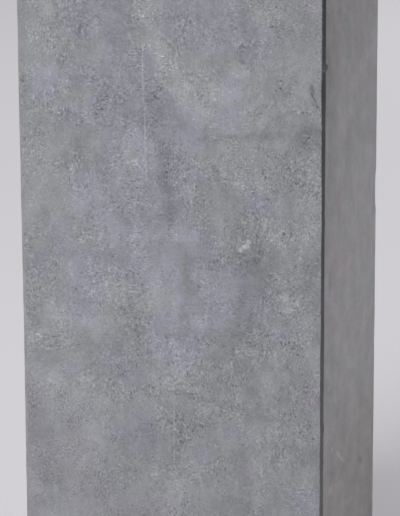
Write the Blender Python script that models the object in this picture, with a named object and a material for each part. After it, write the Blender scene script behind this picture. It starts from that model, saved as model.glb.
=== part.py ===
"""A square bluestone edging post, one piece of stone standing on its sawn foot.

The front and back are dressed faces, with a low uneven relief and thin ledges where the layers let go.
The two sides, the head and the foot are sawn flat. The long arrises are eased by hand, so their width
varies, and small flakes are missing along them.

Z is up, the front faces -Y, and the origin is the middle of the foot.
"""

from collections import namedtuple
from math import radians

import bmesh
import bpy
from mathutils import Matrix, Vector, noise

# Driving dimensions, in metres.
POST_WIDTH = 0.120
POST_DEPTH = 0.120
POST_HEIGHT = 0.500
ARRIS_LEG = 0.0011
HEAD_LEG = 0.0010

# Spacing of the dressed faces' rows and columns, how close two rows may be, and the distance from the
# sides to the first and last column.
GRID_STEP = 0.0080
CLOSEST_ROWS = 0.0016
EDGE_STRIP = 0.0035

# Relief of the dressed faces: slow swells with lumps on them, cut inwards from the sawn plane.
# Where it would rise above the plane, a flat patch of the sawn face is left.
MEAN_DEPTH = 0.00032
SWELL_HEIGHT = 0.00045
SWELL_SIZE = 0.045
LUMP_HEIGHT = 0.00035
LUMP_SIZE = 0.015

# Where each face's own noise starts, so that front and back differ.
NOISE_SEEDS = {"front": 3.7, "back": 19.2}

# How wide a ledge's step is, how much its line wanders, how far below it the ground is level again,
# and the share of its length over which it fades out at each end.
LEDGE_STEP_WIDTH = 0.0030
LEDGE_WANDER = 0.0022
LEDGE_REACH = 0.022
LEDGE_FADE = 0.3

# A ledge runs from start to end on its face, each as a place across and up, and steps in by its drop.
Ledge = namedtuple("Ledge", "start end drop")
LEDGES = {
    "front": (
        Ledge((0.014, 0.189), (0.060, 0.194), 0.00035),
        Ledge((-0.003, 0.091), (0.050, 0.078), 0.00030),
        Ledge((-0.014, 0.243), (0.014, 0.195), 0.00030),
        Ledge((-0.060, 0.338), (0.004, 0.352), 0.00040),
        Ledge((0.010, 0.431), (0.060, 0.414), 0.00045),
    ),
    "back": (
        Ledge((-0.060, 0.118), (-0.008, 0.131), 0.00040),
        Ledge((0.004, 0.224), (0.060, 0.205), 0.00045),
        Ledge((-0.046, 0.301), (0.012, 0.322), 0.00035),
        Ledge((-0.010, 0.442), (0.052, 0.455), 0.00040),
    ),
}

# Leg of each long arris where it changes, as height and leg, from the foot up.
ARRIS_LEGS = {
    ("front", "left"): ((0.0, 0.0016), (0.105, 0.0015), (0.235, 0.0005), (POST_HEIGHT, 0.0010)),
    ("front", "right"): ((0.0, 0.0012), (0.125, 0.0012), (0.155, 0.0010), (0.203, 0.0014), (POST_HEIGHT, 0.0011)),
    ("back", "left"): ((0.0, 0.0010), (0.180, 0.0014), (0.330, 0.0009), (POST_HEIGHT, 0.0012)),
    ("back", "right"): ((0.0, 0.0012), (0.240, 0.0008), (POST_HEIGHT, 0.0014)),
}

# A flake is missing from the arris of one face and side. Its scar has a height and a length up the
# arris, a reach and a depth on the face, and a bite, which is how much it widens the eased arris.
Flake = namedtuple("Flake", "face side height length reach depth bite")
FLAKES = (
    Flake("front", "right", 0.206, 0.012, 0.0054, 0.0004, 0.0001),
    Flake("front", "left", 0.409, 0.018, 0.0055, 0.0010, 0.0012),
    Flake("front", "right", 0.011, 0.016, 0.0060, 0.0010, 0.0012),
    Flake("front", "right", 0.336, 0.014, 0.0045, 0.0008, 0.0010),
    Flake("back", "left", 0.268, 0.024, 0.0065, 0.0010, 0.0013),
    Flake("back", "right", 0.152, 0.016, 0.0050, 0.0009, 0.0011),
    Flake("back", "right", 0.462, 0.020, 0.0060, 0.0011, 0.0014),
)

# Where the rows through a flake lie, as shares of its length from its middle.
FLAKE_ROWS = (-0.5, -0.25, 0.0, 0.25, 0.5)

# Two points closer than this are the same point.
SAME = 1e-5

# Edges that turn more than this, in degrees, are shaded sharp.
SHARP_TURN = 25

BLUESTONE_COLOUR = (0.265, 0.273, 0.297, 1.0)
BLUESTONE_ROUGHNESS = 0.78


def clear_scene():
    """Takes out whatever the file opened with."""
    for obj in list(bpy.data.objects):
        bpy.data.objects.remove(obj, do_unlink=True)


def smooth_step(value):
    """0 below 0, 1 above 1, and an even S between."""
    t = max(0.0, min(1.0, value))
    return t * t * (3 - 2 * t)


def waver(across, up, size, seed):
    """Smooth noise about 0, with lumps about as wide as size."""
    return noise.noise(Vector((across / size, up / size, seed)))


def ledge_depth(across, up, ledge):
    """How far one ledge cuts in: nothing above its line, its full drop just below, then fading out."""
    start = Vector(ledge.start)
    run = Vector(ledge.end) - start
    offset = Vector((across, up)) - start
    along = offset.dot(run) / run.length_squared
    below = offset.dot(Vector((run.y, -run.x)).normalized())
    below += LEDGE_WANDER * waver(across, up, LUMP_SIZE, ledge.drop)
    stepped = smooth_step(0.5 + below / LEDGE_STEP_WIDTH)
    fading = 1 - smooth_step(below / LEDGE_REACH)
    from_start = smooth_step(0.5 + along / LEDGE_FADE)
    from_end = smooth_step(0.5 + (1 - along) / LEDGE_FADE)
    return ledge.drop * stepped * fading * from_start * from_end


def flake_share(across, up, flake):
    """1 in the middle of a flake's scar on its arris, and 0 from its rim outwards, as a scoop is."""
    from_arris = POST_WIDTH / 2 - (across if flake.side == "right" else -across)
    lengthwise = (up - flake.height) / (flake.length / 2)
    crosswise = from_arris / flake.reach
    return max(0.0, 1 - lengthwise ** 2 - crosswise ** 2) ** 0.5


def relief_depth(face, across, up):
    """How far the dressed face lies inside its plane at one place."""
    seed = NOISE_SEEDS[face]
    depth = MEAN_DEPTH + SWELL_HEIGHT * waver(across, up, SWELL_SIZE, seed)
    depth = max(0.0, depth + LUMP_HEIGHT * waver(across, up, LUMP_SIZE, seed))
    for ledge in LEDGES[face]:
        depth += ledge_depth(across, up, ledge)
    for flake in FLAKES:
        if flake.face == face:
            depth += flake.depth * flake_share(across, up, flake)
    return depth


def arris_leg(face, side, up):
    """What the easing takes off at this height of an arris, with its flakes."""
    stretches = ARRIS_LEGS[face, side]
    leg = stretches[0][1]
    for (low, low_leg), (high, high_leg) in zip(stretches, stretches[1:]):
        leg += (high_leg - low_leg) * smooth_step((up - low) / (high - low))
    edge = POST_WIDTH / 2 if side == "right" else -POST_WIDTH / 2
    for flake in FLAKES:
        if (flake.face, flake.side) == (face, side):
            leg += flake.bite * flake_share(edge, up, flake)
    return leg


def row_heights():
    """Heights of the rows: an even spacing, with more through each flake."""
    count = round(POST_HEIGHT / GRID_STEP)
    wanted = [POST_HEIGHT * i / count for i in range(1, count)]
    for flake in FLAKES:
        wanted += [flake.height + flake.length * share for share in FLAKE_ROWS]
    rows = []
    for height in sorted(wanted):
        inside = CLOSEST_ROWS < height < POST_HEIGHT - CLOSEST_ROWS
        if inside and (not rows or height - rows[-1] > CLOSEST_ROWS):
            rows.append(height)
    return rows


def column_places():
    """Places of the columns across a dressed face, the first and last ones close to the arrises."""
    inner = POST_WIDTH / 2 - EDGE_STRIP
    count = round(2 * inner / GRID_STEP)
    return [-inner + 2 * inner * i / count for i in range(count + 1)]


def saw_block():
    """The sawn block with a narrow bevel on its long arrises and round its head."""
    block = bmesh.new()
    size = Matrix.Diagonal((POST_WIDTH, POST_DEPTH, POST_HEIGHT, 1))
    bmesh.ops.create_cube(block, size=1, matrix=Matrix.Translation((0, 0, POST_HEIGHT / 2)) @ size)
    upright = [e for e in block.edges if abs(e.verts[0].co.z - e.verts[1].co.z) > POST_HEIGHT / 2]
    bmesh.ops.bevel(block, geom=upright, offset=ARRIS_LEG, segments=1, affect="EDGES")
    head = [e for e in block.edges if min(v.co.z for v in e.verts) > POST_HEIGHT - SAME]
    bmesh.ops.bevel(block, geom=head, offset=HEAD_LEG, segments=1, affect="EDGES")
    return block


def cut_rows_and_columns(block):
    """Divides the block's faces, so that its dressed faces have points to shape."""
    cuts = [((0, 0, height), (0, 0, 1)) for height in row_heights()]
    cuts += [((across, 0, 0), (1, 0, 0)) for across in column_places()]
    for place, normal in cuts:
        everything = block.verts[:] + block.edges[:] + block.faces[:]
        bmesh.ops.bisect_plane(block, geom=everything, dist=SAME, plane_co=place, plane_no=normal)


def dress_faces(block):
    """Moves the points of the two dressed faces inwards, and varies the width of the eased arrises."""
    for vert in block.verts:
        across, depth, up = vert.co
        face = "front" if depth < 0 else "back"
        side = "left" if across < 0 else "right"
        outwards = -1 if face == "front" else 1
        sidewards = -1 if side == "left" else 1
        on_dressed = abs(abs(depth) - POST_DEPTH / 2) < SAME
        on_side = abs(abs(across) - POST_WIDTH / 2) < SAME
        on_arris_line = abs(abs(across) - (POST_WIDTH / 2 - ARRIS_LEG)) < SAME
        if on_dressed and on_arris_line:
            vert.co.x = sidewards * (POST_WIDTH / 2 - arris_leg(face, side, up))
        if on_dressed:
            vert.co.y -= outwards * relief_depth(face, vert.co.x, up)
        elif on_side:
            leg = arris_leg(face, side, up) + relief_depth(face, across, up)
            vert.co.y = outwards * (POST_DEPTH / 2 - leg)


def bluestone_material():
    """Blue-grey stone, dull and dense."""
    material = bpy.data.materials.new("bluestone")
    material.use_nodes = True
    shader = material.node_tree.nodes["Principled BSDF"]
    shader.inputs["Base Color"].default_value = BLUESTONE_COLOUR
    shader.inputs["Roughness"].default_value = BLUESTONE_ROUGHNESS
    shader.inputs["Metallic"].default_value = 0.0
    return material


def make_post():
    """The whole post as one object."""
    block = saw_block()
    cut_rows_and_columns(block)
    dress_faces(block)
    bmesh.ops.recalc_face_normals(block, faces=block.faces)
    mesh = bpy.data.meshes.new("edging_post")
    block.to_mesh(mesh)
    block.free()
    mesh.materials.append(bluestone_material())
    mesh.shade_smooth()
    mesh.set_sharp_from_angle(angle=radians(SHARP_TURN))
    post = bpy.data.objects.new("edging_post", mesh)
    bpy.context.scene.collection.objects.link(post)
    return post


clear_scene()
make_post()
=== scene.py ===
# %% [markdown]
# A bluestone edging post, as a lesson in stone.
# The object is one square bar of blue-grey stone that stands in a row along a bed or a terrace. It has no
# parts, so the whole lesson is about its surface: a dressed front that is mottled and gritty, sawn sides,
# dark ground arrises and the small damage of handling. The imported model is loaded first, because
# it is the fixed frame: the finished stone stands exactly where it stands, at the same size.

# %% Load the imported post
from collections import namedtuple
from math import radians

import bmesh
import bpy
from mathutils import Matrix, Vector, noise


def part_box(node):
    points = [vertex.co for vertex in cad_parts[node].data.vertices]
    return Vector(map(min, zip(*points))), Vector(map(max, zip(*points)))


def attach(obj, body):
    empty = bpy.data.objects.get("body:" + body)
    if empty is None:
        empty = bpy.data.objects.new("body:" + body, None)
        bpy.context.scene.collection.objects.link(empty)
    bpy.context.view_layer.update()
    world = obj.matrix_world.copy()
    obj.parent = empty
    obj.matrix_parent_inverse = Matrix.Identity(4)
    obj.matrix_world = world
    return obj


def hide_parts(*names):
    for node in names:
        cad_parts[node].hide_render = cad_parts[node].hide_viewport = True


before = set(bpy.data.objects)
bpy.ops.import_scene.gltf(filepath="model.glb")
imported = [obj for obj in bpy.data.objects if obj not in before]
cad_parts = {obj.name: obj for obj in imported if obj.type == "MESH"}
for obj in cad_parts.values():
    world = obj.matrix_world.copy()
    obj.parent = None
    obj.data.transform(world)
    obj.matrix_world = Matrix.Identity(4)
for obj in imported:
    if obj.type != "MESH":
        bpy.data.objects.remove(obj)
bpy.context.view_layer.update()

NODE = "edging_post"
low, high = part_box(NODE)
WIDTH, DEPTH, HEIGHT = high - low
MM = 0.001
print("post", [round(size / MM, 1) for size in (WIDTH, DEPTH, HEIGHT)], "mm")

# %% [markdown]
# The camera comes before the stone, so that every look at it is from the right place.
# The photograph was taken with a long lens from a little above the middle of the post, about 14 degrees to
# its right. The lens is worked out from its focal length in pixels, and the turn, the fall and the small
# roll from where the four upright edges of the post run in the picture.

# %% Set the camera
PHOTO_HEIGHT = 516
FOCAL_PIXELS = 2400
SENSOR = 36.0
EYE = (0.2243, -0.9361, 0.3217)
TURN, FALL, ROLL = 13.632, 11.243, -0.226


def add_camera():
    """A camera at the photographer's place, looking down its own -Z."""
    bpy.ops.object.camera_add()
    camera = bpy.context.object
    camera.name = "camera"
    camera.data.sensor_width = SENSOR
    camera.data.lens = FOCAL_PIXELS * SENSOR / PHOTO_HEIGHT
    turned = Matrix.Rotation(radians(TURN), 4, "Z") @ Matrix.Rotation(radians(90 - FALL), 4, "X")
    camera.matrix_world = Matrix.Translation(EYE) @ turned @ Matrix.Rotation(radians(ROLL), 4, "Z")
    bpy.context.scene.camera = camera
    return camera


bpy.ops.object.select_all(action="DESELECT")
camera = add_camera()
print("camera lens", round(camera.data.lens, 1), "mm")

# %% [markdown]
# The studio is a pale floor that runs out of sight, soft light from all round, and two large soft lamps.
# The stronger one stands high at the left front, because the front of the post is lighter than its right
# side and the floor is darker just behind it at the right. The weaker one, far back at the right, lights
# the floor there and the far edge of the side. No wall is needed: the camera looks down on floor only.

# %% Light the studio
FLOOR_SIZE = 60.0
FLOOR_DROP = 0.0002
FLOOR_COLOUR = (0.670, 0.655, 0.685, 1.0)
FLOOR_ROUGHNESS = 0.9
FLOOR_SHINE = 0.2
SKY_COLOUR = (1.0, 1.0, 1.0, 1.0)
SKY_STRENGTH = 0.52
KEY_PLACE = (-1.0, -1.5, 1.7)
KEY_POWER = 35.4
BACK_PLACE = (1.0, 3.0, 2.0)
BACK_POWER = 31.0
LAMP_SIZE = 1.4
AIM = Vector((0.0, 0.2, 0.1))


def add_floor():
    """A pale, dull floor that isn't part of the object."""
    bpy.ops.mesh.primitive_plane_add(size=FLOOR_SIZE, location=(0, 0, -FLOOR_DROP))
    floor = bpy.context.object
    floor.name = "floor"
    paint = bpy.data.materials.new("pale_floor")
    paint.use_nodes = True
    shader = paint.node_tree.nodes["Principled BSDF"]
    shader.inputs["Base Color"].default_value = FLOOR_COLOUR
    shader.inputs["Roughness"].default_value = FLOOR_ROUGHNESS
    shader.inputs["Specular IOR Level"].default_value = FLOOR_SHINE
    floor.data.materials.append(paint)


def add_lamp(name, place, power):
    """A square soft lamp that looks at the post and doesn't show in the picture."""
    bpy.ops.object.light_add(type="AREA", location=place)
    lamp = bpy.context.object
    lamp.name = name
    lamp.rotation_euler = (AIM - Vector(place)).to_track_quat("-Z", "Y").to_euler()
    lamp.data.size = LAMP_SIZE
    lamp.data.energy = power
    lamp.visible_camera = False


def light_sky():
    """Even pale light from all round."""
    sky = bpy.data.worlds.new("studio")
    sky.use_nodes = True
    background = sky.node_tree.nodes["Background"]
    background.inputs["Color"].default_value = SKY_COLOUR
    background.inputs["Strength"].default_value = SKY_STRENGTH
    bpy.context.scene.world = sky


add_floor()
add_lamp("key", KEY_PLACE, KEY_POWER)
add_lamp("back_lamp", BACK_PLACE, BACK_POWER)
light_sky()
bpy.context.scene.view_settings.view_transform = "Standard"
print("lamps at", KEY_PLACE, "and", BACK_PLACE)

# %% [markdown]
# The block is sawn first. A real post starts as a slab from which a wet saw cuts square bars, and then its
# long arrises and the edge round its head are eased. Here a cube is added at the post's size and place, its
# upright edges are bevelled by the narrowest easing that the post has, and the head's edges after them.
# The bevels are made on the plain block, where there are only a few edges to pick. The faces get their
# finish now as well: each cut that follows passes it on to the faces that it makes.

# %% Saw the block
NARROWEST_LEG = 0.0005
HEAD_LEG = 0.0010
NEARLY = 1e-5
STEEP = 10
LOOKS_ALONG = 0.9
LOOKS_ASKEW = 0.1
FINISH_NAMES = ("dressed_front", "dressed_back", "sawn_right", "sawn_left", "sawn_end", "ground_arris_shaded",
                "rubbed_arris")


def pick_edges(stone, wanted):
    """In edit mode, selects the edges that wanted() says yes to, and nothing else."""
    bpy.ops.mesh.select_all(action="DESELECT")
    shape = bmesh.from_edit_mesh(stone.data)
    for edge in shape.edges:
        edge.select_set(wanted(edge))
    bmesh.update_edit_mesh(stone.data)


def is_upright(edge):
    """True for an edge that runs up the post."""
    one, other = (vert.co for vert in edge.verts)
    return abs(one.z - other.z) > STEEP * (abs(one.x - other.x) + abs(one.y - other.y))


def is_round_head(edge):
    """True for an edge of the head's face."""
    return min(vert.co.z for vert in edge.verts) > HEIGHT - NEARLY


def finish_of(face):
    """Which finish a face of the plain block gets, from the way it looks."""
    across, depth, up = face.normal
    if abs(depth) > LOOKS_ALONG:
        return "dressed_front" if depth < 0 else "dressed_back"
    if abs(across) > LOOKS_ALONG:
        return "sawn_right" if across > 0 else "sawn_left"
    if abs(up) > LOOKS_ALONG:
        return "sawn_end"
    # The right-hand arrises, turned away from the key lamp, get the honed finish darkened with painted
    # shade.
    return "ground_arris_shaded" if across > LOOKS_ASKEW and abs(up) < LOOKS_ASKEW else "rubbed_arris"


def saw_block():
    """A square bar with its long arrises and the edge round its head eased."""
    bpy.ops.object.select_all(action="DESELECT")
    bpy.ops.mesh.primitive_cube_add(size=1, location=(0, 0, HEIGHT / 2), scale=(WIDTH, DEPTH, HEIGHT))
    stone = bpy.context.object
    stone.name = "post_stone"
    bpy.ops.object.transform_apply(location=True, rotation=True, scale=True)
    for name in FINISH_NAMES:
        stone.data.materials.append(bpy.data.materials.new(name))
    bpy.ops.object.mode_set(mode="EDIT")
    bpy.ops.mesh.select_mode(type="EDGE")
    pick_edges(stone, is_upright)
    bpy.ops.mesh.bevel(offset=NARROWEST_LEG, segments=1, affect="EDGES")
    pick_edges(stone, is_round_head)
    bpy.ops.mesh.bevel(offset=HEAD_LEG, segments=1, affect="EDGES")
    bpy.ops.object.mode_set(mode="OBJECT")
    for face in stone.data.polygons:
        face.material_index = FINISH_NAMES.index(finish_of(face))
    return stone


stone = saw_block()
print("sawn block with", len(stone.data.polygons), "faces")

# %% [markdown]
# The dressed faces need points to shape. The columns are cut with bisect while the block has few faces, and
# then the upright edges are subdivided in two goes, which makes the rows. Cutting in this order is quick.
# The sides get rows and no columns, since a sawn face stays flat between its arrises.

# %% Cut columns and rows
GRAIN_STEP = 0.00125
ROW_CUTS = (19, 19)


def cut_columns(stone):
    """Cuts the front, back, head and foot into narrow columns."""
    count = round(WIDTH / GRAIN_STEP)
    for i in range(1, count):
        bpy.ops.mesh.select_all(action="SELECT")
        across = -WIDTH / 2 + WIDTH * i / count
        bpy.ops.mesh.bisect(plane_co=(across, 0, 0), plane_no=(1, 0, 0))


def cut_rows(stone):
    """Divides every upright edge again and again."""
    for cuts in ROW_CUTS:
        pick_edges(stone, is_upright)
        bpy.ops.mesh.subdivide(number_cuts=cuts)


bpy.ops.object.mode_set(mode="EDIT")
cut_columns(stone)
cut_rows(stone)
bpy.ops.object.mode_set(mode="OBJECT")
print("cut into", len(stone.data.polygons), "faces")

# %% [markdown]
# The relief is low, as the photograph shows it: slow swells with lumps on them, thin ledges where a layer
# let go, and small flakes missing from the arrises. Each is a formula for how far a point lies inside the
# sawn face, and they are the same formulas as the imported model's, so the finished stone fits it.

# %% Describe the relief
MEAN_DEPTH = 0.00032
SWELL_HEIGHT = 0.00045
SWELL_SIZE = 0.045
LUMP_HEIGHT = 0.00035
LUMP_SIZE = 0.015
NOISE_SEEDS = {"front": 3.7, "back": 19.2}
LEDGE_STEP_WIDTH = 0.0030
LEDGE_WANDER = 0.0022
LEDGE_REACH = 0.022
LEDGE_FADE = 0.3
Ledge = namedtuple("Ledge", "start end drop")
LEDGES = {
    "front": (
        Ledge((0.014, 0.189), (0.060, 0.194), 0.00035),
        Ledge((-0.003, 0.091), (0.050, 0.078), 0.00030),
        Ledge((-0.014, 0.243), (0.014, 0.195), 0.00030),
        Ledge((-0.060, 0.338), (0.004, 0.352), 0.00040),
        Ledge((0.010, 0.431), (0.060, 0.414), 0.00045),
    ),
    "back": (
        Ledge((-0.060, 0.118), (-0.008, 0.131), 0.00040),
        Ledge((0.004, 0.224), (0.060, 0.205), 0.00045),
        Ledge((-0.046, 0.301), (0.012, 0.322), 0.00035),
        Ledge((-0.010, 0.442), (0.052, 0.455), 0.00040),
    ),
}


def smooth_step(value):
    """0 below 0, 1 above 1, and an even S between."""
    t = max(0.0, min(1.0, value))
    return t * t * (3 - 2 * t)


def waver(across, up, size, seed):
    """Smooth noise about 0, with lumps about as wide as size."""
    return noise.noise(Vector((across / size, up / size, seed)))


def ledge_depth(across, up, ledge):
    """How far one ledge cuts in: nothing above its line, its full drop just below, then fading out."""
    start = Vector(ledge.start)
    run = Vector(ledge.end) - start
    offset = Vector((across, up)) - start
    along = offset.dot(run) / run.length_squared
    below = offset.dot(Vector((run.y, -run.x)).normalized())
    below += LEDGE_WANDER * waver(across, up, LUMP_SIZE, ledge.drop)
    stepped = smooth_step(0.5 + below / LEDGE_STEP_WIDTH)
    fading = 1 - smooth_step(below / LEDGE_REACH)
    from_start = smooth_step(0.5 + along / LEDGE_FADE)
    from_end = smooth_step(0.5 + (1 - along) / LEDGE_FADE)
    return ledge.drop * stepped * fading * from_start * from_end


print("ledges", {face: len(ledges) for face, ledges in LEDGES.items()})

# %% [markdown]
# The arrises are eased by hand, so no two are alike and none keeps its width. The two front ones follow
# the photograph: the right one is widest near the top of the picture, and the left one grows towards the
# foot. Flakes and nicks come off when posts knock together. A flake is a shallow scoop in the face, and
# a nick widens the eased strip over three or four millimetres of its length, on the sawn side only. A fine
# crumbling of its line, from a few millimetres up to a centimetre long, makes the arris look hand worked.

# %% Describe the arrises
ARRIS_LEGS = {
    ("front", "left"): ((0.0, 0.0016), (0.105, 0.0015), (0.235, 0.0005), (HEIGHT, 0.0010)),
    ("front", "right"): (
        (0.0, 0.0012), (0.125, 0.0012), (0.155, 0.0010), (0.203, 0.0014), (HEIGHT, 0.0011),
    ),
    ("back", "left"): ((0.0, 0.0010), (0.180, 0.0014), (0.330, 0.0009), (HEIGHT, 0.0012)),
    ("back", "right"): ((0.0, 0.0012), (0.240, 0.0008), (HEIGHT, 0.0014)),
}
Flake = namedtuple("Flake", "face side height length reach depth bite")
FLAKES = (
    Flake("front", "right", 0.206, 0.012, 0.0054, 0.0004, 0.0001),
    Flake("front", "left", 0.409, 0.018, 0.0055, 0.0010, 0.0012),
    Flake("front", "right", 0.011, 0.016, 0.0060, 0.0010, 0.0012),
    Flake("front", "right", 0.336, 0.014, 0.0045, 0.0008, 0.0010),
    Flake("back", "left", 0.268, 0.024, 0.0065, 0.0010, 0.0013),
    Flake("back", "right", 0.152, 0.016, 0.0050, 0.0009, 0.0011),
    Flake("back", "right", 0.462, 0.020, 0.0060, 0.0011, 0.0014),
)
Nick = namedtuple("Nick", "face side height length bite")
NICKS = (
    Nick("front", "right", 0.2165, 0.0032, 0.0046),
    Nick("front", "right", 0.0773, 0.0034, 0.0012),
    Nick("front", "right", 0.1575, 0.0030, 0.0008),
    Nick("front", "left", 0.2900, 0.0040, 0.0012),
    Nick("back", "left", 0.0900, 0.0036, 0.0014),
    Nick("back", "right", 0.3550, 0.0040, 0.0012),
)
CRUMBLE = ((0.011, 0.00018), (0.0034, 0.00016))
EASE_REACH = 0.010


def flake_share(across, up, flake):
    """1 in the middle of a flake's scar on its arris, and 0 from its rim outwards, as a scoop is."""
    from_arris = WIDTH / 2 - (across if flake.side == "right" else -across)
    lengthwise = (up - flake.height) / (flake.length / 2)
    crosswise = from_arris / flake.reach
    return max(0.0, 1 - lengthwise ** 2 - crosswise ** 2) ** 0.5


def relief_depth(face, across, up):
    """How far the dressed face lies inside its plane at one place."""
    seed = NOISE_SEEDS[face]
    depth = MEAN_DEPTH + SWELL_HEIGHT * waver(across, up, SWELL_SIZE, seed)
    depth = max(0.0, depth + LUMP_HEIGHT * waver(across, up, LUMP_SIZE, seed))
    for ledge in LEDGES[face]:
        depth += ledge_depth(across, up, ledge)
    for flake in FLAKES:
        if flake.face == face:
            depth += flake.depth * flake_share(across, up, flake)
    return depth


def arris_leg(face, side, up):
    """What the easing takes off at this height of an arris, with its flakes and its crumbled line."""
    stretches = ARRIS_LEGS[face, side]
    leg = stretches[0][1]
    for (low_end, low_leg), (high_end, high_leg) in zip(stretches, stretches[1:]):
        leg += (high_leg - low_leg) * smooth_step((up - low_end) / (high_end - low_end))
    edge = WIDTH / 2 if side == "right" else -WIDTH / 2
    for flake in FLAKES:
        if (flake.face, flake.side) == (face, side):
            leg += flake.bite * flake_share(edge, up, flake)
    for size, height in CRUMBLE:
        leg += height * waver(edge, up, size, NOISE_SEEDS[face])
    return max(NARROWEST_LEG, leg)


def nick_bite(face, side, up):
    """What the nicks take off the sawn side of an arris at this height."""
    bite = 0.0
    for nick in NICKS:
        if (nick.face, nick.side) == (face, side):
            bite += nick.bite * max(0.0, 1 - ((up - nick.height) / (nick.length / 2)) ** 2) ** 0.5
    return bite


print("front right arris at mid height", round(arris_leg("front", "right", HEIGHT / 2) / MM, 2), "mm")

# %% [markdown]
# Cutting the relief is done with weights. Every point gets a weight for how far it has to move, and a
# Displace modifier with no texture moves the points by that share of its strength, one modifier for each
# way in. It is the same as painting weights by hand, with formulas in place of a brush. Near an arris the
# columns are squeezed together a little, so that a wide easing doesn't fold them over.

# %% Cut the relief
DEEPEST = 0.005
CUTS = {"front": ("Y", 1), "back": ("Y", -1), "left": ("X", 1), "right": ("X", -1)}


def cut_depths(place):
    """How far one point of the block moves in from the front, back, left and right."""
    across, depth, up = place
    face = "front" if depth < 0 else "back"
    side = "left" if across < 0 else "right"
    extra_leg = arris_leg(face, side, up) - NARROWEST_LEG
    if abs(depth) > DEPTH / 2 - NEARLY:
        from_arris = WIDTH / 2 - NARROWEST_LEG - abs(across)
        squeeze = extra_leg * max(0.0, 1 - from_arris / EASE_REACH)
        inwards = 1 if side == "left" else -1
        return {face: relief_depth(face, across + inwards * squeeze, up), side: squeeze}
    if abs(across) > WIDTH / 2 - NEARLY:
        return {face: relief_depth(face, across, up) + extra_leg + nick_bite(face, side, up)}
    return {}


def weigh_points(stone):
    """Writes each point's cuts into one vertex group for each way in."""
    groups = {name: stone.vertex_groups.new(name=f"cut_{name}") for name in CUTS}
    for vert in stone.data.vertices:
        for name, depth in cut_depths(vert.co).items():
            groups[name].add([vert.index], depth / DEEPEST, "REPLACE")


def apply_cuts(stone):
    """Moves the points in by their weights and leaves a plain mesh."""
    bpy.ops.object.select_all(action="DESELECT")
    stone.select_set(True)
    bpy.context.view_layer.objects.active = stone
    for name, (axis, sign) in CUTS.items():
        cut = stone.modifiers.new(f"cut_{name}", "DISPLACE")
        cut.direction = axis
        cut.mid_level = 0.0
        cut.strength = sign * DEEPEST
        cut.vertex_group = f"cut_{name}"
        bpy.ops.object.modifier_apply(modifier=cut.name)


weigh_points(stone)
apply_cuts(stone)
print("stone now spans", [round(size / MM, 2) for size in stone.dimensions], "mm")

# %% [markdown]
# The dressed face is gritty as well as uneven. Two procedural textures roughen the mesh itself, so that
# the grit shows at its edges and in a raking light: a coarse one for shallow hollows and a fine one
# for grit. Their middle level is 1, so they only cut into the stone and it never grows past its frame.

# %% Roughen the dressed faces
ROUGHENINGS = (("hollows", 0.0080, 0.00012), ("grit", 0.0028, 0.00010))
SHARP_TURN = 25


def roughen(stone, name, size, depth):
    """Cuts the dressed faces with smooth noise of one size."""
    texture = bpy.data.textures.new(name, "CLOUDS")
    texture.noise_scale = size
    texture.noise_depth = 1
    for face in ("front", "back"):
        axis, sign = CUTS[face]
        cut = stone.modifiers.new(f"{name}_{face}", "DISPLACE")
        cut.texture = texture
        cut.texture_coords = "LOCAL"
        cut.direction = axis
        cut.mid_level = 1.0
        cut.strength = -sign * depth
        cut.vertex_group = f"dressed_{face}"
        bpy.ops.object.modifier_apply(modifier=cut.name)


def group_dressed(stone):
    """One vertex group for each dressed face."""
    for face in ("front", "back"):
        group = stone.vertex_groups.new(name=f"dressed_{face}")
        index = FINISH_NAMES.index(f"dressed_{face}")
        faces = [p for p in stone.data.polygons if p.material_index == index]
        group.add(sorted({v for p in faces for v in p.vertices}), 1.0, "REPLACE")


def mark_borders(stone):
    """Keeps the line between two finishes crisp, also where it hardly turns."""
    bpy.ops.object.mode_set(mode="EDIT")
    pick_edges(stone, lambda edge: len({face.material_index for face in edge.link_faces}) > 1)
    bpy.ops.mesh.mark_sharp()
    bpy.ops.object.mode_set(mode="OBJECT")


group_dressed(stone)
for name, size, depth in ROUGHENINGS:
    roughen(stone, name, size, depth)
bpy.ops.object.shade_smooth_by_angle(angle=radians(SHARP_TURN))
mark_borders(stone)
for group in list(stone.vertex_groups):
    stone.vertex_groups.remove(group)
print("stone now spans", [round(size / MM, 2) for size in stone.dimensions], "mm")

# %% [markdown]
# Finishes are made of shader nodes. To keep their sums readable, a small class wraps a socket and lets
# Python's own operators add the Math nodes, and one method adds every other kind of node.

# %% Helpers for the finishes
class Link:
    """One output of a shader node that Python's arithmetic works on."""

    def __init__(self, finish, socket):
        self.finish = finish
        self.socket = socket

    def maths(self, operation, one, other):
        return self.finish.node("ShaderNodeMath", {"operation": operation}, {0: one, 1: other})

    def __add__(self, other):
        return self.maths("ADD", self, other)

    def __radd__(self, other):
        return self.maths("ADD", other, self)

    def __sub__(self, other):
        return self.maths("SUBTRACT", self, other)

    def __rsub__(self, other):
        return self.maths("SUBTRACT", other, self)

    def __mul__(self, other):
        return self.maths("MULTIPLY", self, other)

    def __rmul__(self, other):
        return self.maths("MULTIPLY", other, self)

    def __abs__(self):
        return self.maths("ABSOLUTE", self, 0.0)

    def largest(self, other):
        return self.maths("MAXIMUM", self, other)

    def smallest(self, other):
        return self.maths("MINIMUM", self, other)


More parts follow.
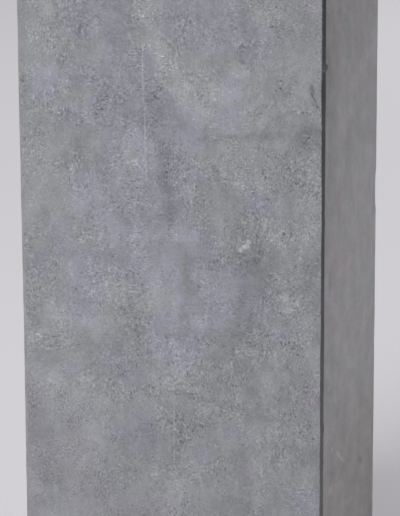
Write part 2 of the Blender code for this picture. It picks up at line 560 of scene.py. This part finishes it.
class Finish:
    """A material in the making."""

    def __init__(self, name):
        self.material = bpy.data.materials[name]
        self.material.use_nodes = True
        self.tree = self.material.node_tree
        self.shader = self.tree.nodes["Principled BSDF"]
        self.place = self.node("ShaderNodeTexCoord", output="Object")

    def node(self, kind, settings=None, sockets=None, output=0):
        """Adds a node, sets it up, feeds its sockets and returns one of its outputs."""
        made = self.tree.nodes.new(kind)
        for name, value in (settings or {}).items():
            setattr(made, name, value)
        for name, value in (sockets or {}).items():
            self.feed(made.inputs[name], value)
        return Link(self, made.outputs[output])

    def feed(self, socket, value):
        """Links a socket or sets its value."""
        if isinstance(value, Link):
            self.tree.links.new(value.socket, socket)
        else:
            socket.default_value = value

    def moved(self, scale=(1, 1, 1), location=(0, 0, 0)):
        """The place on the stone, stretched and shifted."""
        sockets = {"Vector": self.place, "Scale": scale, "Location": location}
        return self.node("ShaderNodeMapping", {}, sockets)

    def axis(self, name):
        """How far across (X), deep (Y) or up (Z) a place is."""
        return self.node("ShaderNodeSeparateXYZ", {}, {0: self.place}, name)

    def noise(self, size, detail=0.0, roughness=0.5, place=None, output="Fac"):
        """Smooth noise between 0 and 1 with lumps about as wide as size."""
        sockets = {
            "Vector": place or self.place,
            "Scale": 1 / size,
            "Detail": detail,
            "Roughness": roughness,
        }
        return self.node("ShaderNodeTexNoise", {}, sockets, output)

    def ramp(self, value, start, end):
        """0 at start, 1 at end, and an even S between; start may be above end."""
        sockets = {"Value": value, "From Min": start, "From Max": end}
        return self.node("ShaderNodeMapRange", {"interpolation_type": "SMOOTHSTEP"}, sockets)

    def mix(self, share, one, other):
        """One colour blended into another: a Mix node has its colours on inputs 6 and 7, output 2."""
        return self.node("ShaderNodeMix", {"data_type": "RGBA"}, {0: share, 6: one, 7: other}, 2)

    def scaled(self, colour, factor):
        """A colour made lighter or darker."""
        return self.node("ShaderNodeVectorMath", {"operation": "SCALE"}, {0: colour, "Scale": factor})

    def finish_with(self, colour, roughness, height):
        """Feeds the shader: its colour, its roughness, and a bump whose height is in millimetres."""
        normal = self.node("ShaderNodeBump", {}, {"Height": height, "Distance": MM})
        self.feed(self.shader.inputs["Base Color"], colour)
        self.feed(self.shader.inputs["Roughness"], roughness)
        self.feed(self.shader.inputs["Normal"], normal)


print("finishes to make:", ", ".join(FINISH_NAMES))

# %% [markdown]
# The front is a map of clouds. Bluestone is a dense, fine limestone, and where its clay is richer it turns
# from greenish grey to a blue that is nearly violet. On this post the violet runs down the middle in one
# large, ragged cloud with two limbs at the top. Noise alone would never make that shape, so it is laid down
# as a few dozen ellipses, placed in millimetres, whose edges noise then frays.

# %% Place the violet clouds
Patch = namedtuple("Patch", "across up half_width half_height tilt amount", defaults=(1.0,))
VIOLET_CLOUDS = (
    Patch(-35, 234, 6.7, 10.6, 15), Patch(-22, 231, 6.7, 16.5, 10), Patch(-16, 210, 13.0, 16.5, 20),
    Patch(-8, 188, 21.3, 18.1, 25), Patch(-12, 167, 27.6, 16.5, 5), Patch(-6, 145, 25.2, 15.8, 0),
    Patch(15, 131, 14.2, 16.5, 20), Patch(-35, 130, 8.7, 16.5, 0), Patch(3, 111, 11.8, 12.6, 0),
    Patch(14, 234, 18.1, 13.4, 0), Patch(33, 225, 7.5, 7.5, 20), Patch(23, 209, 4.3, 4.3, 0),
    Patch(23, 198, 7.5, 4.7, 0), Patch(-49, 209, 6.7, 7.9, 0), Patch(-34, 211, 7.9, 5.5, 0),
    Patch(-34, 198, 9.5, 6.3, 0), Patch(35, 164, 5.5, 7.1, 30), Patch(35, 125, 7.1, 7.1, 0),
    Patch(44, 112, 3.5, 3.5, 0), Patch(-23, 101, 7.1, 3.9, 20), Patch(-16, 95, 5.9, 3.9, 0),
    Patch(-40, 95, 3.5, 3.5, 0), Patch(-15, 72, 10.2, 7.5, 0), Patch(24, 72, 4.3, 3.5, 0),
    Patch(12, 64, 3.9, 3.5, 0), Patch(-45, 149, 3.5, 7.1, 0), Patch(-52, 138, 3.5, 5.5, 0),
    Patch(55, 48, 7.1, 4.7, 0), Patch(26, 132, 5.5, 8.0, 0), Patch(8, 122, 9.0, 9.0, 0),
)
GREY_GAPS = (
    Patch(-14, 180, 3.2, 5.5, 10), Patch(5, 134, 3.0, 7.5, 10), Patch(-16, 121, 4.6, 7.5, 0),
    Patch(14, 163, 3.5, 7.1, 20), Patch(-11, 233, 3.9, 10.2, 0), Patch(-37, 204, 3.9, 4.7, 0),
)
PINK_CLOUDS = (
    Patch(-56, 60, 5, 36, 0, 0.8), Patch(-38, 58, 13, 24, 0, 0.4), Patch(-17, 43, 20, 6, 0, 0.6),
    Patch(50, 48, 7, 5.5, 0, 0.3), Patch(55, 90, 4, 5, 0, 0.8), Patch(55, 239, 3, 3, 0, 0.8),
    Patch(38, 115, 2, 2, 0, 0.8), Patch(31, 57, 2.5, 2.5, 0, 0.8),
)
print("clouds on the front:", len(VIOLET_CLOUDS + GREY_GAPS + PINK_CLOUDS))

# %% [markdown]
# Lighter and darker patches are placed in the same way. The light ones are where the skin is broken and
# bright crystals show, the dark ones are where it is whole and smooth. Painted shade lines follow two of the
# ledges, under their steps, and a few hair lines, thin as a scratch, run nearly upright. Painted shade curls
# round the rim of the flake's scar near the right arris, and one small chip is almost white. The slow tones
# are wide and faint.

# %% Place the light and dark patches
LIGHT_PATCHES = (
    Patch(-51, 225, 5.9, 18.9, 0, 0.6), Patch(-8, 237, 5.5, 6.3, 0, 0.9), Patch(4, 208, 4.7, 18.9, 35, 0.9),
    Patch(21, 207, 6.3, 4.3, 0, 0.5), Patch(-14, 178, 4.7, 3.9, 0, 0.6), Patch(2, 151, 9.0, 3.0, 10, 0.6),
    Patch(-48, 85, 3.5, 7.9, 0, 0.5), Patch(-44, 127, 4.7, 15.8, 0, 0.4), Patch(35, 113, 3.2, 2.8, 0, 0.9),
    Patch(30, 107, 3.9, 2.4, 0, 1.0), Patch(49, 124, 2.8, 3.5, 0, 0.5),
    Patch(29.5, 147.6, 2.5, 2.0, 30, 0.8),
    Patch(26, 173, 5.5, 4.7, 0, 0.4), Patch(-22, 128, 5.5, 8.7, 10, 0.4), Patch(18, 156, 3.9, 9.8, 20, 0.3),
    Patch(36, 234, 3.2, 6.3, 30, 0.5), Patch(43, 151, 2.8, 2.4, 0, 0.9), Patch(9, 91, 4.2, 1.4, 0, 1.0),
    Patch(-7, 57, 2.2, 3.0, 0, 1.0), Patch(26, 215, 4.5, 2.4, 0, 0.8), Patch(-14, 148, 1.8, 7.0, 0, 0.6),
    Patch(0, 118, 1.6, 6.0, 5, 0.5), Patch(-51, 203, 3.2, 2.0, -30, 0.7), Patch(-6, 224, 3.5, 8.0, 25, 1.0),
)
DARK_PATCHES = (
    Patch(-34, 224, 3.5, 3.2, 0, 0.6), Patch(-26, 210, 3.5, 10.2, 0, 0.6), Patch(-38, 210, 5.5, 5.5, 0, 0.3),
    Patch(-7, 197, 4.7, 9.8, 0, 0.6), Patch(-1, 176, 3.5, 12.6, 0, 0.9), Patch(0, 160, 2.8, 3.5, 0, 0.6),
    Patch(-37, 185, 4.3, 3.5, 0, 0.7), Patch(-42, 177, 3.9, 3.9, 0, 0.5), Patch(6, 134, 3.5, 9.8, 0, 0.8),
    Patch(-15, 117, 3.2, 11.8, 20, 0.7), Patch(33, 131, 9.5, 18.1, 0, 0.8), Patch(55, 191, 7.9, 5.1, 0, 0.8),
    Patch(57, 136, 5.5, 13.4, 0, 0.7), Patch(55, 67, 5.9, 4.7, 0, 0.7), Patch(-10, 69, 5.1, 5.9, 0, 0.6),
    Patch(5, 72, 3.5, 4.3, 0, 0.5), Patch(7, 223, 5.9, 5.5, 0, 0.4), Patch(6, 113, 6.3, 3.2, 0, 0.6),
    Patch(-21, 95, 4.7, 3.2, 30, 0.4), Patch(-36, 110, 3.9, 3.9, 0, 0.3), Patch(51, 95, 4.7, 3.2, 0, 0.5),
    Patch(-50, 52, 6.3, 6.3, 0, 0.4), Patch(55, 208, 3.2, 3.9, 0, 0.4), Patch(46, 229, 3.5, 2.8, 0, 0.4),
    Patch(8, 196, 6.5, 9.0, 20, 0.5),
)
# Painted shade: dark lines under the steps of two ledges.
LEDGE_SHADE_LINES = (
    Patch(34, 190, 22.0, 1.6, 5, -0.6), Patch(6, 88, 7.1, 2.0, 0, -0.5),
    Patch(27, 83, 18.9, 1.6, -14, -0.4),
)
HAIR_LINES = (
    Patch(-10.4, 213, 0.32, 12.0, 1, 1.9), Patch(-9.6, 190, 0.32, 15.0, 1, 1.6),
    Patch(1, 72, 0.32, 13.0, 0, 1.6), Patch(-15, 226, 0.32, 2.8, 25, 1.8),
    Patch(-17, 232, 0.3, 2.0, 40, 1.4), Patch(-2, 227, 0.3, 3.2, 45, 1.2),
)
# Painted shade round the rim of the flake's scar near the right arris.
FLAKE_RIM_SHADE = (
    Patch(55.1, 208.2, 0.9, 2.0, 6, -1.9), Patch(55.7, 205.2, 0.5, 2.0, 30, -1.7),
    Patch(57.2, 201.9, 0.7, 1.1, 20, -2.0),
)
CHIP = (
    Patch(29.0, 147.2, 1.9, 0.9, 30, 3.2), Patch(27.3, 145.8, 1.1, 0.8, 0, 3.0),
    Patch(30.7, 149.3, 0.9, 0.9, 20, 3.0),
)
SLOW_TONES = (
    Patch(-28, 135, 48, 70, 0, 0.7), Patch(52, 110, 26, 95, 0, -0.8), Patch(-40, 238, 34, 24, 0, -0.8),
    Patch(-35, 60, 34, 34, 0, 0.6),
)
print("light patches:", len(LIGHT_PATCHES), "dark patches:", len(DARK_PATCHES))

# %% [markdown]
# Each patch is measured in its own turned and stretched axes. A Mapping node of the texture type does
# that in one step, and a spherical Gradient Texture then gives 1 in the middle and 0 on the rim. How a rim
# is frayed takes two lengths: the size of the noise, and how far the noise can push the rim.

# %% Helpers for the patches
ON_THE_FACE = (1, 0, 1)
ON_THE_SIDE = (0, 1, 1)
FRAY_DETAIL = 5.0
FRAY_ROUGHNESS = 0.68
RIM, CREST = 0.05, 0.60


def frayed(finish, size, reach, flat=ON_THE_FACE):
    """The place on the face, pushed about by noise, so that what is drawn there gets a ragged rim."""
    push = finish.noise(size, detail=FRAY_DETAIL, roughness=FRAY_ROUGHNESS, output="Color")
    sockets = {0: push, 1: (reach,) * 3, 2: finish.place}
    pushed = finish.node("ShaderNodeVectorMath", {"operation": "MULTIPLY_ADD"}, sockets)
    centring = tuple(-reach / 2 * kept for kept in flat)
    return finish.node("ShaderNodeMapping", {}, {"Vector": pushed, "Location": centring, "Scale": flat})


def dome(finish, place, patch, grown, flat=ON_THE_FACE):
    """1 in the middle of a patch and 0 where it ends, once it has grown this many times."""
    on_face = flat == ON_THE_FACE
    across, up, tilt = patch.across * MM, patch.up * MM, radians(patch.tilt)
    half_width, half_height = grown * patch.half_width * MM, grown * patch.half_height * MM
    sockets = {
        "Vector": place,
        "Location": (across, 0, up) if on_face else (0, across, up),
        "Rotation": (0, -tilt, 0) if on_face else (tilt, 0, 0),
        "Scale": (half_width, 1, half_height) if on_face else (1, half_width, half_height),
    }
    local = finish.node("ShaderNodeMapping", {"vector_type": "TEXTURE"}, sockets)
    return finish.node("ShaderNodeTexGradient", {"gradient_type": "SPHERICAL"}, {0: local}, "Fac")


def inside_any(finish, place, patches, grown=2.5):
    """How far inside the nearest patch a place is, in metres, and below 0 outside them all."""
    deepest = None
    for patch in patches:
        size = (patch.half_width * patch.half_height) ** 0.5 * MM
        inside = (dome(finish, place, patch, grown) - (1 - 1 / grown)) * (grown * size)
        deepest = inside if deepest is None else deepest.largest(inside)
    return deepest


def laid(finish, place, patches, grown=1.5, flat=ON_THE_FACE):
    """The sum of soft patches, each at its own amount."""
    total = 0
    for patch in patches:
        total = total + finish.ramp(dome(finish, place, patch, grown, flat), RIM, CREST) * patch.amount
    return total


print("patches on a face are measured in its axes", ON_THE_FACE)

# %% [markdown]
# The dressed finish adds up from coarse to fine. First the layout says where the clouds and patches are.
# Then the tone goes lighter and darker in lumps of every size, because a dressed face shows almost the same
# contrast at two centimetres as at half a millimetre, and thin sheets of skin lie over them with crisp
# rims. Last comes the grit, which depends on where the skin is broken: there it is a net of fine strokes
# with bright crystals and dark pits, and elsewhere the strokes are only a third as strong. The stretches
# that the photograph doesn't show get the same ingredients, laid out by noise alone.

# %% Describe the dressed finish
OPEN_SIZES = {"clouds": 0.055, "light": 0.021, "dark": 0.018}
OPEN_DEPTH = 0.06
OPEN_AMOUNT = 0.8
SHOWN_UP_TO, OPEN_FROM = 0.239, 0.255
CLOUD_FRAY = (0.011, 0.014)
LUMP_SIZES = {"coarse": 0.030, "blotches": 0.0085, "streaks": 0.0030}
LUMP_STEPS = {"coarse": 0.30, "blotches": 0.32, "streaks": 0.22}
STREAK_SQUASH = 0.28
SHEET_SIZES = (0.024, 0.013, 0.0065)
SHEET_SQUASH = 0.75
SHEET_RIM = (0.490, 0.512)
BROKEN_SIZE, BROKEN_AT = 0.011, (0.42, 0.60)
STROKE_SIZE = 0.00068
STROKE_SQUASH = 0.7
STROKE_CONTRAST = 5.5
DARK_STROKES = 0.78
TURNED_SIZE, TURNED_AT = 0.024, (0.46, 0.54)
CRYSTAL_SIZE, CRYSTAL_AT = 0.0010, (0.64, 0.75)
PIT_SIZE, PIT_AT = 0.0011, (0.62, 0.80)
PIT_PLACE = (0.4, 0.2, 0.3)


def open_layout(finish):
    """Clouds, light patches and dark patches by noise alone."""
    inside = finish.noise(OPEN_SIZES["clouds"], detail=3.0, roughness=0.55) - 0.52
    light = finish.ramp(finish.noise(OPEN_SIZES["light"], detail=3.0, roughness=0.6), 0.55, 0.75)
    dark = finish.ramp(finish.noise(OPEN_SIZES["dark"], detail=3.0, roughness=0.6), 0.45, 0.28)
    return inside * OPEN_DEPTH, light * OPEN_AMOUNT, dark * OPEN_AMOUNT


def placed_layout(finish):
    """Clouds, light patches and dark patches where the photograph has them, and by noise above that."""
    ragged = frayed(finish, *CLOUD_FRAY)
    shown = finish.ramp(finish.axis("Z"), OPEN_FROM, SHOWN_UP_TO)
    clouds = inside_any(finish, ragged, VIOLET_CLOUDS).smallest(inside_any(finish, ragged, GREY_GAPS) * -1)
    placed = (clouds, laid(finish, ragged, LIGHT_PATCHES), laid(finish, ragged, DARK_PATCHES))
    return tuple(there + (here - there) * shown for here, there in zip(placed, open_layout(finish)))


def lumps(finish):
    """Lighter and darker lumps, from three centimetres down to two millimetres, and upright streaks."""
    upright = finish.moved(scale=(1, 1, STREAK_SQUASH))
    coarse = finish.noise(LUMP_SIZES["coarse"], detail=1.0)
    blotches = finish.noise(LUMP_SIZES["blotches"], detail=3.0, roughness=0.66)
    streaks = finish.noise(LUMP_SIZES["streaks"], detail=2.0, roughness=0.6, place=upright)
    middling = (blotches - 0.5) * LUMP_STEPS["blotches"] + (streaks - 0.5) * LUMP_STEPS["streaks"]
    return (coarse - 0.5) * LUMP_STEPS["coarse"], middling


def sheets(finish):
    """Thin sheets of skin that were left on the stone: flat, with crisp ragged rims, over each other."""
    total = 0
    for i, size in enumerate(SHEET_SIZES):
        moved = finish.moved(scale=(1, 1, SHEET_SQUASH), location=(0.3 * i, 0, 0))
        outline = finish.noise(size, detail=6.0, roughness=0.68, place=moved)
        total = total + finish.ramp(outline, *SHEET_RIM)
    return total - len(SHEET_SIZES) / 2


def grit(finish, light, dark):
    """Fine strokes, bright crystals and dark pits, crowded where the skin is broken."""
    where = finish.noise(BROKEN_SIZE, detail=5.0, roughness=0.65) + light * 0.04 - dark * 0.05
    broken = finish.ramp(where, *BROKEN_AT)
    upright = finish.noise(STROKE_SIZE, detail=1.0, place=finish.moved(scale=(1, 1, STROKE_SQUASH)))
    level = finish.noise(STROKE_SIZE, detail=1.0, place=finish.moved(scale=(STROKE_SQUASH, 1, 1)))
    turned = finish.ramp(finish.noise(TURNED_SIZE), *TURNED_AT)
    fine = level + (upright - level) * turned - 0.5
    uneven = fine.largest(fine * DARK_STROKES)
    strokes = uneven * (abs(fine) * STROKE_CONTRAST + 0.3) * (broken * 0.90 + 0.45)
    crystals = finish.ramp(finish.noise(CRYSTAL_SIZE), *CRYSTAL_AT) * (broken * 0.19 + light * 0.36 + 0.03)
    elsewhere = finish.moved(location=PIT_PLACE)
    pits = finish.ramp(finish.noise(PIT_SIZE, place=elsewhere), *PIT_AT) * (broken * 0.10 + 0.02)
    return strokes - 0.013, crystals, pits


print("sheets of skin", SHEET_SIZES, "strokes", STROKE_SIZE)

# %% [markdown]
# Now the ingredients are put together. The inside of the clouds takes the violet, a little more of it on
# whole skin and less where the stone is light, and everything that makes the stone lighter or darker is one
# sum that scales the colour. The front also gets its pink stains, slow tones, lines, and painted shade under
# two ledges and round the flake's rim. The bump is made of the same parts as the tone, so light catches the
# grit where the grit is drawn.

# %% Make the dressed finish
GREY_STONE = (0.2660, 0.2757, 0.2893, 1.0)
VIOLET_STONE = (0.2665, 0.2722, 0.3095, 1.0)
PINK_STONE = (0.2790, 0.2710, 0.2960, 1.0)
CLOUD_EDGE = 0.0009
LIGHT_STEP = 0.17
DARK_STEP = 0.17
SHEET_STEP = 0.070
SLOW_FRAY = (0.009, 0.009)
SLOW_STEP = 0.05
LINE_FRAY = (0.006, 0.0010)
LINE_STEP = 0.15
DRESSED_ROUGHNESS = 0.86


def make_dressed(name, photographed):
    """The dressed face of the front or the back."""
    finish = Finish(name)
    inside, light, dark = placed_layout(finish) if photographed else open_layout(finish)
    coarse, middling = lumps(finish)
    skin = sheets(finish)
    strokes, crystals, pits = grit(finish, light, dark)
    violet = finish.ramp(inside, -CLOUD_EDGE, CLOUD_EDGE)
    strength = skin * 0.12 - light * 0.16 - coarse * 1.6 + 0.97
    colour = finish.mix(violet * strength, GREY_STONE, VIOLET_STONE)
    tone = coarse + middling + strokes + crystals - pits + skin * SHEET_STEP
    tone = tone + light * LIGHT_STEP - dark * DARK_STEP
    if photographed:
        ragged = frayed(finish, *SLOW_FRAY)
        colour = finish.mix(laid(finish, ragged, PINK_CLOUDS), colour, PINK_STONE)
        tone = tone + laid(finish, ragged, SLOW_TONES) * SLOW_STEP
        # Painted shade under the ledges and round the flake's rim is drawn here together with the hair lines
        # and the light chip.
        drawn = LEDGE_SHADE_LINES + HAIR_LINES + FLAKE_RIM_SHADE + CHIP
        tone = tone + laid(finish, frayed(finish, *LINE_FRAY), drawn) * LINE_STEP
    height = middling * 0.30 + strokes * 0.12 + crystals * 0.3 - pits * 0.5 + skin * 0.03
    finish.finish_with(finish.scaled(colour, tone + 1), DRESSED_ROUGHNESS - 0.6 * crystals, height)


make_dressed("dressed_front", True)
make_dressed("dressed_back", False)
print("grey stone", GREY_STONE[:3], "violet stone", VIOLET_STONE[:3])

# %% [markdown]
# The sawn sides are smooth, a little warmer than the dressed face, and faintly clouded. The clouds are drawn
# out along the stone's bedding, which dips towards the back. The low angle of the photograph closes them up
# again, so there they stand as short upright patches. The saw's own marks are only a trace. The right side
# has a long slanting scuff, a few short light ones and three soft dark spots. It also gets broad lighter and
# darker stretches, and painted shade in a narrow strip along its front arris and more softly next to that
# arris high up.

# %% Make the sawn finish
SAWN_PINK = (0.3040, 0.2848, 0.3055, 1.0)
SAWN_GREEN = (0.2825, 0.2905, 0.2945, 1.0)
SAWN_BROWN = (0.3060, 0.2890, 0.2800, 1.0)
BEDDING_DIP = -11
BEDDING_STRETCH = 2.1
SAWN_SIZES = {"hue": 0.0070, "brown": 0.0080, "clouds": 0.0085, "streaks": 0.0090, "fine": 0.0014}
SAWN_STEPS = {"clouds": 1.00, "streaks": 0.20, "fine": 0.22}
SAW_MARK_SQUASH = 0.35
SIDE_FRAY = (0.004, 0.001)
SIDE_STEP = 0.22
BROWN_FRAY = (0.020, 0.020)
SAWN_ROUGHNESS = 0.66
SCUFFS = (
    Patch(-21.7, 56, 9.0, 0.8, -27, 1.5), Patch(-40, 63.8, 2.6, 0.9, 0, 1.2),
    Patch(-42, 48.5, 2.6, 1.8, 0, 0.9), Patch(-47, 90.7, 2.5, 0.9, 0, 0.9),
    Patch(27, 41, 6.0, 1.4, -20, -0.8), Patch(-29, 157, 3.5, 7.0, 0, -0.60),
    Patch(-47, 133, 3.5, 6.0, 0, -0.60),
)
# Broad lighter and darker stretches, and painted shade along the front arris: the long narrow strip and the
# soft dark patches next to it.
SIDE_TONES_AND_ARRIS_SHADE = (
    Patch(-15, 262, 80, 46, 0, -0.64), Patch(-62, 205, 28, 54, 0, -0.52), Patch(30, 118, 64, 54, 0, 0.47),
    Patch(0, 38, 80, 34, 0, -0.20), Patch(-60, 212, 16, 15, 0, -0.75), Patch(-61, 150, 3.5, 400, 0, -0.60),
    Patch(-50, 52, 14, 14, 0, -0.2),
)
BROWN_CLOUDS = (
    Patch(0, 30, 70, 40, 0, 0.75), Patch(-50, 232, 26, 22, 0, 0.6), Patch(30, 95, 14, 8, 0, 0.4),
)


def along_bedding(finish):
    """The place on the stone, turned and stretched as its layers lie."""
    sockets = {"Rotation": (radians(BEDDING_DIP), 0, 0), "Scale": (1, BEDDING_STRETCH, 1)}
    return finish.node("ShaderNodeMapping", {"vector_type": "TEXTURE"}, {"Vector": finish.place, **sockets})


def sawn_tones(finish, bedded):
    """Lighter and darker clouds, traces of the saw, and a fine grain."""
    squashed = finish.moved(scale=(1, 1, SAW_MARK_SQUASH))
    clouds = finish.noise(SAWN_SIZES["clouds"], detail=3.0, roughness=0.62, place=bedded)
    streaks = finish.noise(SAWN_SIZES["streaks"], detail=2.0, place=squashed)
    fine = finish.noise(SAWN_SIZES["fine"], detail=1.0, place=bedded)
    tones = {"clouds": clouds, "streaks": streaks, "fine": fine}
    return [(tone - 0.5) * SAWN_STEPS[name] for name, tone in tones.items()]


def make_sawn(name, lightness, photographed=False):
    """A smooth sawn face."""
    finish = Finish(name)
    bedded = along_bedding(finish)
    elsewhere = finish.node("ShaderNodeMapping", {}, {"Vector": bedded, "Location": (0.3, 0.1, 0.2)})
    hue = finish.ramp(finish.noise(SAWN_SIZES["hue"], detail=2.0, place=bedded), 0.43, 0.57)
    brown = finish.ramp(finish.noise(SAWN_SIZES["brown"], detail=3.0, place=elsewhere), 0.55, 0.75)
    clouds, streaks, fine = sawn_tones(finish, bedded)
    tone = clouds + streaks + fine + 1
    if photographed:
        pushed = frayed(finish, *SIDE_FRAY, ON_THE_SIDE)
        stained = frayed(finish, *BROWN_FRAY, ON_THE_SIDE)
        # Scuffs, broad tones and painted shade along the front arris.
        tone = tone + laid(finish, pushed, SCUFFS + SIDE_TONES_AND_ARRIS_SHADE, flat=ON_THE_SIDE) * SIDE_STEP
        brown = brown + laid(finish, stained, BROWN_CLOUDS, flat=ON_THE_SIDE)
    stone_colour = finish.mix(brown, finish.mix(hue, SAWN_PINK, SAWN_GREEN), SAWN_BROWN)
    roughness = SAWN_ROUGHNESS + clouds * 0.6
    finish.finish_with(finish.scaled(stone_colour, tone * lightness), roughness, fine * 0.1 + clouds * 0.06)


make_sawn("sawn_right", 1.0, True)
make_sawn("sawn_left", 1.0)
make_sawn("sawn_end", 1.0)
make_sawn("rubbed_arris", 0.93)
print("sawn finishes made")

# %% [markdown]
# The right-hand arrises are ground and honed. Honing closes the pores and darkens the stone, and on these
# arrises, which face away from the key lamp, painted shade makes it nearly black, which is why a strip
# little more than a millimetre wide draws the strongest line in the photograph. It grows lighter towards the
# foot, and along its front edge a few crumbs of lighter stone break the line.

# %% Make the ground arris
# Honed stone's own dark colour, darkened further with painted shade.
HONED_SHADED_STONE = (0.037, 0.037, 0.041, 1.0)
LOWER_STRIP_STONE = (0.100, 0.100, 0.105, 1.0)
CRUMB_STONE = (0.200, 0.203, 0.216, 1.0)
LIGHTENING_STARTS = 0.27
CRUMBS_START, CRUMBS_END = -0.00055, -0.00095
CRUMB_REACH = 0.0022
HONED_GRAIN_SIZE = 0.0013
HONED_TONE_SIZE = 0.018
HONED_ROUGHNESS = 0.42


def make_ground(name):
    """A narrow honed strip, nearly black with painted shade, lighter towards the foot, with crumbs along its
    front edge.
    """
    finish = Finish(name)
    fine = finish.noise(HONED_GRAIN_SIZE, detail=2.0) - 0.5
    slow = finish.noise(HONED_TONE_SIZE, detail=1.0) - 0.5
    depth_in = finish.axis("X") - abs(finish.axis("Y"))
    crumbs = finish.ramp(depth_in + fine * CRUMB_REACH, CRUMBS_START, CRUMBS_END)
    # Nearly black with painted shade high up, and lighter towards the foot.
    strip = finish.mix(finish.ramp(finish.axis("Z"), LIGHTENING_STARTS, 0.0), HONED_SHADED_STONE, LOWER_STRIP_STONE)
    colour = finish.mix(crumbs, strip, CRUMB_STONE)
    tone = fine * 0.8 + slow * 0.9 + 1
    finish.finish_with(finish.scaled(colour, tone), HONED_ROUGHNESS + fine * 0.3, fine * 0.1)


make_ground("ground_arris_shaded")
print("ground arris made")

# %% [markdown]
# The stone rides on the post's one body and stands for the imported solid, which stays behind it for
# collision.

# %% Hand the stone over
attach(stone, "root")
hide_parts(NODE)
print("triangles", sum(len(p.vertices) - 2 for p in stone.data.polygons))
